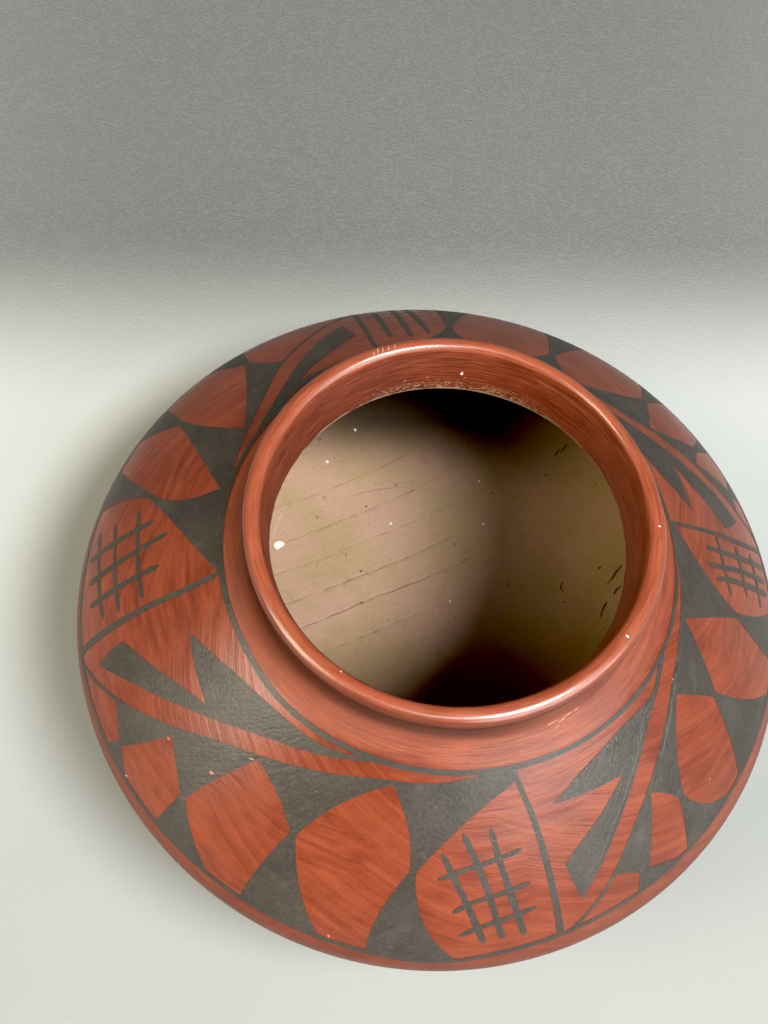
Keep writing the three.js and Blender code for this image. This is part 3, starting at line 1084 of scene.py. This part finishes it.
# %% Points of the panels
PANELS = {
    "a": {
        "bar_width": 2.3,
        "bar": ((203.9, 75.5), (204.2, 60), (204, 45), (204.4, 25), (205.2, 6)),
        "spike_top": ((213.7, 59.2), (219, 63.5), (229, 69), (240, 71.4), (255, 71.9), (266, 74.4)),
        "spike_low": ((213.7, 59.2), (221, 56.2), (228.6, 53.3)),
        "prong": ((228.6, 53.3), (223.3, 49.5), (216.7, 42.3), (210, 33.5), (207.9, 30.2)),
        "butt": ((207.9, 30.2), (208.2, 24.3), (209.2, 16)),
        "band_top": ((209.2, 16), (215.4, 28.9), (221.7, 39.3), (228.3, 48.5), (240, 60.2),
                     (250, 66.2), (266, 73.7)),
        "band_low": ((206.2, 5.6), (215.8, 20.2), (225.8, 36), (235.8, 49.3), (246.7, 58.1),
                     (260, 65.6), (270, 69.5), (280, 71), (292, 73.9)),
        "tips": ((217, 19.7), (228.3, 35.5), (244, 54.5), (272.2, 68.5), (299.2, 69.6)),
        "gaps": (((222.8, 14), 1.2, (221, 228), (0.05, 0, 0, 0)),
                 ((237, 24.7), 1.2, (235.8, 247.5), (0.03, 0.04, 0.01, 0.02)),
                 ((256.9, 40.2), 1.2, (253.4, 267), (0.09, 0.11, -0.035, 0.037)),
                 ((279.3, 40.4), 1.2, (274, 288), (0.095, 0.083, -0.07, 0.09))),
        "hatch": (((284.2, 47.3), (286.3, 40.2), (289.2, 28.5), (291.9, 13.9)),
                  ((288.1, 54.2), (291, 42.7), (293.1, 29.3), (294.8, 14.8)),
                  ((293.5, 55.2), (294.8, 44.3), (296.5, 31), (298.3, 14.8))),
        "cross": (((284, 38.5), (288.3, 41.8), (299, 46.4)),
                  ((286.8, 26.4), (290, 29.8), (299.8, 33.9)),
                  ((288.1, 17.3), (292.1, 20.6), (300.4, 24.2))),
    },
    "b": {
        "bar_width": 2.1,
        "bar": ((299.4, 74.5), (300.8, 66), (302.3, 56), (303.6, 36), (304.2, 10)),
        "spike_top": ((306.9, 58.7), (313.5, 64.3), (320.2, 67.5), (327.7, 69.5), (335.2, 69.2),
                      (340, 69.3), (344, 72), (349, 74)),
        "spike_low": ((306.9, 58.7), (313.5, 57.5), (323.3, 55.6)),
        "prong": ((323.3, 55.6), (318.5, 50.6), (313.5, 45.2), (308.5, 39.3), (306.75, 36)),
        "butt": ((306.75, 36), (307.2, 31.8), (308.4, 20.8)),
        "band_top": ((308.4, 20.8), (312.7, 29.3), (317.7, 39.3), (322.7, 47.7), (332.7, 61.4),
                     (340.2, 67.3), (349, 72.6)),
        "band_low": ((305.8, 10.6), (312.7, 21), (321, 36.4), (331.8, 51), (342.7, 62.3),
                     (350, 66.8), (360, 70.6), (370, 72.7), (376, 73.9)),
        "tips": ((315.6, 23.9), (326.9, 42.5), (344, 59.8), (360.2, 68.1), (383.7, 71.4)),
        "gaps": (((320.2, 18.3), 1.9, (318.1, 327.5), (0.03, 0, 0, 0)),
                 ((332.1, 31.8), 1.2, (328.8, 341.5), (0.08, 0.10, 0, 0.12)),
                 ((350.8, 43.3), 1.2, (344.1, 360), (0.03, 0.02, 0, 0.035)),
                 ((368.8, 39), 1.2, (365.4, 375), (0.036, 0.12, -0.03, 0.04))),
        "hatch": (((374.4, 50.6), (375.6, 42.7), (376.5, 29.3), (377.3, 13.5)),
                  ((376.9, 54.8), (377.7, 46.8), (378.8, 34.3), (379.6, 14.3)),
                  ((381, 54.3), (381.3, 44.3), (381.9, 29.3), (382.5, 11.8))),
        "cross": (((372.5, 42.4), (377.5, 44.8), (384.6, 45.8)),
                  ((374.2, 31), (378.3, 32.3), (383.8, 33.1)),
                  ((374, 20.6), (378.8, 21.4), (383.5, 22.3))),
    },
    "c": {
        "bar_width": 1.8,
        "bar": ((384.3, 74.5), (384.8, 62.7), (385.2, 51), (385.3, 26), (385.8, 9)),
        "spike_top": ((389.6, 57), (395.4, 64.3), (399.2, 68), (405, 71), (412, 72.6), (432, 74.6)),
        "spike_low": ((389.6, 57), (395.4, 56), (402, 55)),
        "prong": ((402, 55), (397.7, 51), (393.8, 46), (387.5, 36.8)),
        "butt": ((387.5, 36.8), (388.5, 31), (390, 24.8)),
        "band_top": ((390, 24.8), (395.4, 33.5), (404.6, 50.2), (412.3, 61), (421, 69), (432, 73.8)),
        "band_low": ((387, 9), (392.7, 21), (402.3, 37.7), (411.5, 51.8), (416.2, 59.3),
                     (428, 67.5), (440, 71.5), (455, 73.9)),
        "tips": ((392.8, 18.5), (402.4, 34.7), (412, 50), (431, 66.5), (452, 69.5), (480.3, 72)),
        "gaps": (((396.7, 16.8), 1.2, (395.3, 400.8), (0, 0, 0, 0)),
                 ((406.2, 25.5), 1.2, (405.8, 409.6), (0, 0.04, 0, 0)),
                 ((419.2, 31), 1.2, (418, 424.2), (0.04, 0.10, 0, 0)),
                 ((439.3, 48.5), 1.2, (435, 444), (0.086, 0.17, 0, 0)),
                 ((462.5, 46), 1.2, (457.5, 464.5), (0.17, 0.17, 0, 0))),
        "hatch": (((467.5, 54.2), (468.6, 36), (469.8, 13.5)),
                  ((471.8, 58.5), (472.1, 36), (472.2, 13)),
                  ((476.5, 57), (476.2, 40), (475.9, 17))),
        "cross": (((465.4, 23.5), (471, 25), (477.8, 26)),
                  ((466.2, 17.5), (471.5, 18.5), (477.4, 19.5)),
                  ((466.8, 12), (472, 12.8), (477, 13.5))),
    },
    "d": {
        "bar_width": 1.7,
        "bar": ((481.9, 74.5), (481.4, 62), (480.8, 51), (479.9, 30), (479, 8.5)),
        "spike_top": ((489, 70.5), (495, 72), (503, 73), (515, 74.8)),
        "spike_low": ((489, 70.5), (496, 69), (503.2, 67.7)),
        "prong": ((503.2, 67.7), (498.6, 63.5), (488.6, 54.3), (483.2, 47)),
        "butt": ((483.2, 47), (483.6, 30.4)),
        "band_top": ((483.6, 30.4), (493.6, 46.8), (503.6, 61), (509.3, 66.8), (515, 71), (522, 74.4)),
        "band_low": ((479.6, 12.5), (491, 33.5), (501.4, 48.5), (510.7, 61), (521.4, 69.3), (534, 74.3)),
        "tips": ((500.4, 44.3), (521.8, 67.3), (540.2, 72), (562.8, 74.6)),
        "gaps": (((504, 28), 1.2, (500.5, 508), (0.06, 0.079, 0, 0)),
                 ((522.2, 30), 1.2, (518, 526), (0.045, 0.06, 0, 0)),
                 ((539.9, 38), 1.2, (532, 541), (0.117, 0.068, 0, 0.067))),
        "hatch": (((545.9, 43), (547.5, 31), (550, 10.2)),
                  ((549.6, 51.8), (551.8, 36), (554.4, 12.3)),
                  ((556.4, 49.3), (557.1, 36.8), (558.6, 13.9))),
        "cross": (((542.9, 34.3), (550.7, 38), (561.8, 41.7)),
                  ((544.6, 22.3), (550.7, 26), (562.1, 29.8)),
                  ((545.4, 13.3), (552.1, 17.3), (561.8, 21))),
    },
}
print({name: len(panel["tips"]) - 1 for name, panel in PANELS.items()}, "plain lobes in each panel")

# %% Outlines of one panel
HATCH_WIDTH = 2.0
CROSS_WIDTH = HATCH_WIDTH * 0.85
NECK_LINE_POINTS = 4
EDGE_LINE = 1.3
EDGE_SIDE = Vector((0.75, -0.66))
BRUSH_LEAN = math.radians(48)
UPRIGHT = math.radians(90)

# How high each figure stands on the slip in millimetres, different where two of them cross
BAR_TOP = 0.12
FORK_TOP = 0.10
FEATHER_TOP = 0.09
HATCH_TOP = 0.10
CROSS_TOP = 0.12


def fork_outline(panel):
    """Spike and prong, closed along the upper edge of the red band."""
    back = smooth_line(panel["band_top"])[::-1]
    line = smooth_line(panel["spike_top"]) + back
    line += smooth_line(panel["butt"])[::-1][1:]
    line += smooth_line(panel["prong"])[::-1][1:]
    return line + smooth_line(panel["spike_low"])[::-1][1:-1]


def on_belly_line(theta):
    return at(theta, float(line_climb(BELLY_LINE, theta)))


def feather_outline(panel):
    """The dark ground: under the band, along the neck line, and back along the lobes."""
    under_band = smooth_line(panel["band_low"])
    tips = [at(*tip) for tip in panel["tips"]]
    band_end = panel["band_low"][-1][0]
    last_tip = panel["tips"][-1][0]
    line = list(under_band)
    for theta in np.linspace(band_end + 2, last_tip + 0.3, NECK_LINE_POINTS):
        line.append(at(theta, float(line_climb(NECK_LINE, theta))))
    for i in range(len(panel["gaps"]) - 1, -1, -1):
        waist, width, feet, bulges = panel["gaps"][i]
        left, right = (at(waist[0] + side * width / 2, waist[1]) for side in (-1, 1))
        upper_left, upper_right, lower_left, lower_right = bulges
        foot_left, foot_right = (on_belly_line(foot) for foot in feet)
        line += bowed_line(tips[i + 1], right, upper_right)
        line += bowed_line(right, foot_right, lower_right)[1:]
        line += bowed_line(foot_left, left, lower_left)
        line += bowed_line(left, tips[i], upper_left)[1:-1]
    below = [p for p in under_band if p.x < tips[0].x - 1]
    line += [p + EDGE_SIDE * EDGE_LINE for p in below[::-1]]
    return line


def strokes(lines, width):
    return [stroke_outline(smooth_line(points), width) for points in lines]


def paint_panel(letter, panel):
    bar = strokes([panel["bar"]], panel["bar_width"])
    painted(f"panel_{letter}_bar", [(BAR_TOP, bar)], UPRIGHT)
    painted(f"panel_{letter}_fork", [(FORK_TOP, [fork_outline(panel)])], BRUSH_LEAN)
    painted(f"panel_{letter}_feathers", [(FEATHER_TOP, [feather_outline(panel)])], BRUSH_LEAN)
    hatch = strokes(panel["hatch"], HATCH_WIDTH)
    cross = strokes(panel["cross"], CROSS_WIDTH)
    painted(f"panel_{letter}_hatch", [(HATCH_TOP, hatch), (CROSS_TOP, cross)], UPRIGHT)


for letter, panel in PANELS.items():
    paint_panel(letter, panel)

# %% [markdown]
# Chips, ridges of paint and painted glints
#
# Chips of slip and paint are missing here and there, most of all on the lip and round the throat.
# Each mark is a small stencil outline again: a place, a length, a width and a lean. Where the brush
# was full, the paint dried in raised ridges along the edges of one fork. On the front of the neck a
# few short pale strokes are painted glints of light.

# %% Chips and scuffs
FLECK_POINTS = 9
SCUFFS = ((238.5, 39.3, 2.0, 1.3, 0.4), (228.3, 33.8, 1.4, 0.7, 0.2), (242.9, 53.2, 2.4, 0.6, 0.5),
          (227.4, 9, 1.2, 0.8, 0.0), (345.8, 64.5, 0.9, 0.7, 0.0), (338.7, 26, 0.9, 0.6, 0.8),
          (268.2, 9.5, 0.7, 1.1, 0.0))
SCUFF_TOP = 0.2
LIP_SCRATCHES = ((489.4, 105.4), (487.9, 104.9), (486.3, 104.7), (484.6, 105.0), (482.6, 104.8))
LIP_SCRATCH_SHAPE = (2.5, 0.8, math.radians(60))
CHIPS = ((338.2, 104.8, 1.2, 0.8, 0.3), (374, 104.8, 1.0, 0.7, 0.0), (461, 118.6, 1.9, 1.3, 0.5),
         (250.6, 106.2, 0.8, 0.5, 0.0))
CHIP_TOP = 0.08
THROAT_CRUMBS = 34
CRUMB_TURNS = (440, 495)
CRUMB_CLIMBS = (119, 126.6, 126)
CRUMB_LENGTHS = (0.4, 1.6)
CRUMB_WIDTHS = (0.2, 0.4)
CRUMB_LEANS = (-0.3, 0.3)
CRUMB_TOP = 0.06


def fleck_outline(middle, length, width, lean):
    """A ragged little outline round a stencil point."""
    along = Vector((math.cos(lean), math.sin(lean))) * length / 2
    across = Vector((-math.sin(lean), math.cos(lean))) * width / 2
    outline = []
    for i in range(FLECK_POINTS):
        turn = 2 * math.pi * i / FLECK_POINTS
        ragged = HAND.uniform(0.7, 1.15)
        outline.append(middle + (along * math.cos(turn) + across * math.sin(turn)) * ragged)
    return outline


def flecks(marks, place=at):
    """Outlines from rows of the two numbers of a place, a length, a width and a lean."""
    return [fleck_outline(place(a, b), *shape) for a, b, *shape in marks]


def outside_marks():
    scuffs = flecks(SCUFFS)
    scuffs += flecks((*place, *LIP_SCRATCH_SHAPE) for place in LIP_SCRATCHES)
    painted("scuffs", [(SCUFF_TOP, scuffs)], 0, SCUFF_AND_GLINT_FINISH)
    painted("chips", [(CHIP_TOP, flecks(CHIPS))], 0, CHIP_FINISH)
    crumbs = []
    for _ in range(THROAT_CRUMBS):
        middle = at(HAND.uniform(*CRUMB_TURNS), HAND.triangular(*CRUMB_CLIMBS))
        shape = [HAND.uniform(*bounds) for bounds in (CRUMB_LENGTHS, CRUMB_WIDTHS, CRUMB_LEANS)]
        crumbs.append(fleck_outline(middle, *shape))
    painted("throat_crumbs", [(CRUMB_TOP, crumbs)], 0, CLAY_FINISH)


outside_marks()

# %% Ridges of paint
RIDGE_POINTS = 5
RIDGE_WIDTH = 1.1
RIDGE_HEIGHT = 0.41
RIDGE_WANDER = 0.32
RIDGE_FOOT = 0.04
RIDGE_END = 0.35

# Each ridge: an edge of the fork, which of its points it starts and ends at, and its shift aside
RIDGES = (("band_top", 1, 6, (-1.4, 0.9)), ("band_top", 4, 6, (-2.8, 1.8)),
          ("spike_top", 1, 3, (0.4, -0.7)), ("band_low", 3, 6, (1.4, -1.0)))
DROPS = ((325.5, 66.6), (327.5, 67.4), (331, 66.2), (322.5, 66.4), (334.5, 67.2))
DROP_WIDTH = 1.8
DROP_STEP = Vector((0.3, 0.9))


def add_ridge(bm, line, width):
    """A half-round ridge of paint along a stencil line, uneven and drawn in at both ends."""
    sections = []
    for i, point in enumerate(line):
        way = way_at(line, i)
        share = HAND.uniform(0.5, 1.15) * (RIDGE_END if i in (0, len(line) - 1) else 1)
        across = Vector((-way.y, way.x))
        middle = point + across * HAND.uniform(-RIDGE_WANDER, RIDGE_WANDER)
        side = across * width / 2 * share
        section = []
        for k in range(RIDGE_POINTS):
            turn = math.pi * k / (RIDGE_POINTS - 1)
            flat = middle + side * math.cos(turn)
            height = RIDGE_FOOT + RIDGE_HEIGHT * share * math.sin(turn)
            section.append(bm.verts.new((*flat, height)))
        sections.append(section)
    for a, b in zip(sections, sections[1:]):
        for k in range(RIDGE_POINTS):
            bm.faces.new((a[k - 1], a[k], b[k], b[k - 1]))
    bm.faces.new(sections[0])
    bm.faces.new(sections[-1])


def paint_ridges():
    fork = PANELS["b"]
    bm = bmesh.new()
    stroke_layer = bm.verts.layers.float_vector.new("stroke")
    for edge, start, end, shift in RIDGES:
        line = smooth_line(fork[edge][start:end])
        add_ridge(bm, [p + Vector(shift) for p in line], RIDGE_WIDTH)
    for place in DROPS:
        add_ridge(bm, [at(*place) + DROP_STEP * k for k in (-2, -1, 0, 1, 2)], DROP_WIDTH)
    bmesh.ops.recalc_face_normals(bm, faces=bm.faces[:])
    flat = np.array([v.co for v in bm.verts])
    for vertex in bm.verts:
        vertex[stroke_layer] = vertex.co
    lay_on_jar(bm, np.radians(flat[:, 0] / DEGREE), flat[:, 1], flat[:, 2])
    return keep(bm, "panel_b_ridges", PAINT_FINISH)


paint_ridges()

# %% Painted glints on the neck
NECK_GLINTS = ((312.0, 84.9, 5.0), (314.4, 84.3, 3.6), (316.4, 85.0, 4.0), (319.2, 85.1, 2.6),
                (312.8, 82.9, 2.2))
NECK_GLINT_WIDTH = 0.55
NECK_GLINT_TOP = 0.08


def neck_glints_painted():
    """Short pale strokes painted on the neck as glints of light."""
    outlines = []
    for theta, climb, length in NECK_GLINTS:
        half = length / 2 / DEGREE
        line = smooth_line(((theta - half, climb - 0.15), (theta, climb), (theta + half, climb + 0.1)))
        outlines.append(stroke_outline(line, NECK_GLINT_WIDTH, unsteady=0.4))
    painted("neck_glints_painted", [(NECK_GLINT_TOP, outlines)], 0, SCUFF_AND_GLINT_FINISH)


neck_glints_painted()

# %% [markdown]
# Marks inside
#
# Grains of white temper, a flake of plaster and a few short cracks show on the bare floor, and one
# pale spot is a painted glint on a small bump of clay. They are outlines in plan, dropped straight
# down on the clay: a ray from the height of the widest ring finds the surface under each vertex.

# %% Marks inside
# The second grain is a pale spot painted as a glint on a small bump of clay
GRAINS_AND_GLINT = ((-66.0, 32.6, 5.4, 3.2, 0.75), (-25.3, 56.5, 1.5, 1.1, 0.2), (11.3, 66.8, 1.1, 0.9, 0.0),
          (5.0, 82.3, 1.0, 0.8, 0.0), (6.4, 31.9, 1.0, 0.8, 0.0), (-56.8, 69.8, 1.2, 1.0, 0.0),
          (-49.3, 84.1, 1.0, 0.8, 0.0))
PALE_LINE = ((-69.2, 33.6), (-68.9, 38.5), (-67.9, 47.6))
CRACKS = (((68.8, 59.9), (67.3, 57.2), (66.5, 54.5), (65.2, 52.6)),
          ((66.9, 45.5), (66.1, 42.7), (66.1, 39.5)),
          ((70.5, 52.0), (69.2, 50.5), (68.6, 48.8)), ((48.3, 50.8), (48.0, 48.6), (49.4, 47.2)),
          ((35.2, 99.3), (34.2, 98.0), (33.5, 96.7)), ((32.8, 97.6), (31.6, 95.6)))
PITS = ((-27.5, 21.1, 1.4, 1.0, 0.3), (-36.8, 60.0, 1.2, 0.8, 0.2), (-31.6, 33.7, 1.3, 0.9, 0.8),
        (60.8, 58.3, 1.1, 1.0, 0.0), (51.0, 43.0, 0.9, 0.8, 0.0))
DROP_FROM = 70.0
GRAIN_HEIGHT = 0.3
PALE_LINE_WIDTH = 0.32
PALE_LINE_HEIGHT = 0.08
CRACK_WIDTH = 0.65
CRACK_HEIGHT = 0.05


def clay_surface():
    """A search tree of the bowl and the lower coils."""
    corners, faces = [], []
    for piece in [base_piece] + clay_pieces[:COILS_EACH_SIDE]:
        start = len(corners)
        corners += [v.co.copy() for v in piece.data.vertices]
        faces += [[start + i for i in face.vertices] for face in piece.data.polygons]
    return BVHTree.FromPolygons(corners, faces)


CLAY_SURFACE = clay_surface()


def dropped_marks(name, outlines, height, finish):
    """Thin flakes with those plan outlines, lying on the clay."""
    bm = bmesh.new()
    for outline in outlines:
        fill_outline(bm, outline)
    for vertex in bm.verts:
        above = Vector((vertex.co.x, vertex.co.y, DROP_FROM)) * MM
        ground, normal, _, _ = CLAY_SURFACE.ray_cast(above, Vector((0, 0, -1)))
        lift = height if vertex.co.z > 0.5 else -height
        vertex.co = ground + normal * lift * MM
    return keep(bm, name, finish)


def on_plan(x, y):
    return Vector((x, y))


def plan_stroke(points, width):
    return stroke_outline(curve_through([on_plan(*p) for p in points]), width, unsteady=0.45)


dropped_marks("temper_grains_and_glint", flecks(GRAINS_AND_GLINT, on_plan), GRAIN_HEIGHT, CHIP_FINISH)
pale_line = plan_stroke(PALE_LINE, PALE_LINE_WIDTH)
dropped_marks("pale_scratch", [pale_line], PALE_LINE_HEIGHT, SCRATCH_FINISH)
cracks = [plan_stroke(points, CRACK_WIDTH) for points in CRACKS]
dropped_marks("clay_cracks", cracks + flecks(PITS, on_plan), CRACK_HEIGHT, CRACK_FINISH)

# %% [markdown]
# Floor
#
# The jar stands on a pale sheet painted darker in front and paler farther back, as painted light,
# and grey some way behind it, as painted shade where a backdrop would turn from the light. A wall
# behind the jar would hide it from the other side, so the sheet stays flat and only its colour
# changes.

# %% Floor
FLOOR_REACH = 4.0
FLOOR_TURN = math.radians(17.1)
FLOOR_FRONT = colour(0.220, 0.227, 0.222)
FLOOR_BACK = colour(0.378, 0.387, 0.378)
FLOOR_MOTTLED = colour(0.388, 0.397, 0.388)
BEHIND_MIDDLE = colour(0.104, 0.109, 0.107)
BEHIND_SIDES = colour(0.130, 0.136, 0.134)
WRINKLE_EDGE = colour(0.26, 0.27, 0.265)
FLOOR_ROUGHNESS = 0.55
FLOOR_RELIEF = 0.00012


def floor_finish():
    material, shader, wire = new_finish("pale_floor")
    place = place_on_object(wire)
    across, depth, _ = place.turned(FLOOR_TURN).parts()
    behind = depth.fade(0.118, 0.218)
    mottle = place.grain(7, 2.0)
    wave = place.grain(420, 2.0, 0.6) - 0.5
    wrinkle = (wave * wave).fade(0.0, 0.004)
    # Painted light and shade: the sheet is painted darker in front and paler farther back
    pale = depth.fade(-0.12, 0.13).tint(FLOOR_FRONT, FLOOR_BACK)
    pale = (mottle * 0.2).tint(pale, FLOOR_MOTTLED)
    # Painted shade behind the jar, where a backdrop would turn from the light, darkest behind the middle
    grey = (across * across).fade(0.002, 0.06).tint(BEHIND_MIDDLE, BEHIND_SIDES)
    sheet = behind.tint(pale, grey)
    feed(shader, "Base Color", ((1 - wrinkle) * behind * 0.14).tint(sheet, WRINKLE_EDGE))
    shader.inputs["Roughness"].default_value = FLOOR_ROUGHNESS
    relief(shader, wrinkle * (behind * 0.85 + 0.15), FLOOR_RELIEF)
    return material


def make_floor():
    bm = bmesh.new()
    bmesh.ops.create_grid(bm, x_segments=8, y_segments=8, size=FLOOR_REACH)
    floor = mesh_object(bm, "floor", floor_finish())


make_floor()
print("floor reaches", FLOOR_REACH, "m each way")

# %% [markdown]
# Light
#
# A tall window stands in front on the right, and a weaker, warmer lamp on the left. Each is a high
# soft light, which reaches through the mouth and lights one side of the floor inside, and a low
# broad one, which gleams on the shoulder. A faint light high in front is the rest of the room: it
# gleams on the near lip and softens the edge of the lit floor. The world is a little brighter at
# the horizon than overhead, so that the sides of the jar are filled and its inside stays dark.

# %% Lights
JAR_MIDDLE = Vector((0, 0, 0.11))
LIGHT_DISTANCE = 3.0
WINDOW_TINT = (0.98, 1.0, 0.975)
LAMP_TINT = (1.0, 0.90, 0.55)
LAMP_LOW_TINT = (1.0, 0.91, 0.76)
HORIZON = colour(0.26, 0.264, 0.264)
OVERHEAD = colour(0.055, 0.056, 0.056)
BLACK_POINT = 0.014


def soft_light(name, azimuth, elevation, width, height, watts, tint):
    data = bpy.data.lights.new(name, "AREA")
    data.shape = "ELLIPSE"
    data.size = width
    data.size_y = height
    data.energy = watts
    data.color = tint
    light = put_in_scene(name, data)
    turn, tilt = math.radians(azimuth), math.radians(elevation)
    away = Vector((math.cos(turn) * math.cos(tilt), math.sin(turn) * math.cos(tilt), math.sin(tilt)))
    light.location = JAR_MIDDLE + away * LIGHT_DISTANCE
    light.rotation_euler = (-away).to_track_quat("-Z", "Y").to_euler()
    light.visible_camera = False


def fill_world():
    world = bpy.data.worlds.new("soft_fill")
    world.use_nodes = True
    wire = Wire(world.node_tree)
    way = wire.node("ShaderNodeTexCoord", {}, {}, out=0)
    sky = way.parts()[2].fade(0.1, 0.6).tint(HORIZON, OVERHEAD)
    feed(world.node_tree.nodes["Background"], "Color", sky)
    bpy.context.scene.world = world


def photo_contrast():
    """A plain view with its black point raised, as a hand camera sets it."""
    view = bpy.context.scene.view_settings
    view.view_transform = "Standard"
    view.use_curve_mapping = True
    view.curve_mapping.black_level = (BLACK_POINT, BLACK_POINT, BLACK_POINT)
    view.curve_mapping.update()


soft_light("window_high", 331, 62, 1.25, 0.8, 150, WINDOW_TINT)
soft_light("room_front", 281, 63, 1.4, 0.5, 11, WINDOW_TINT)
soft_light("window_low", 329, 32, 3.4, 2.0, 105, WINDOW_TINT)
soft_light("lamp_high", 220, 48, 1.5, 0.85, 38, LAMP_TINT)
soft_light("lamp_low", 218, 29, 1.5, 1.2, 62, LAMP_LOW_TINT)
fill_world()
photo_contrast()
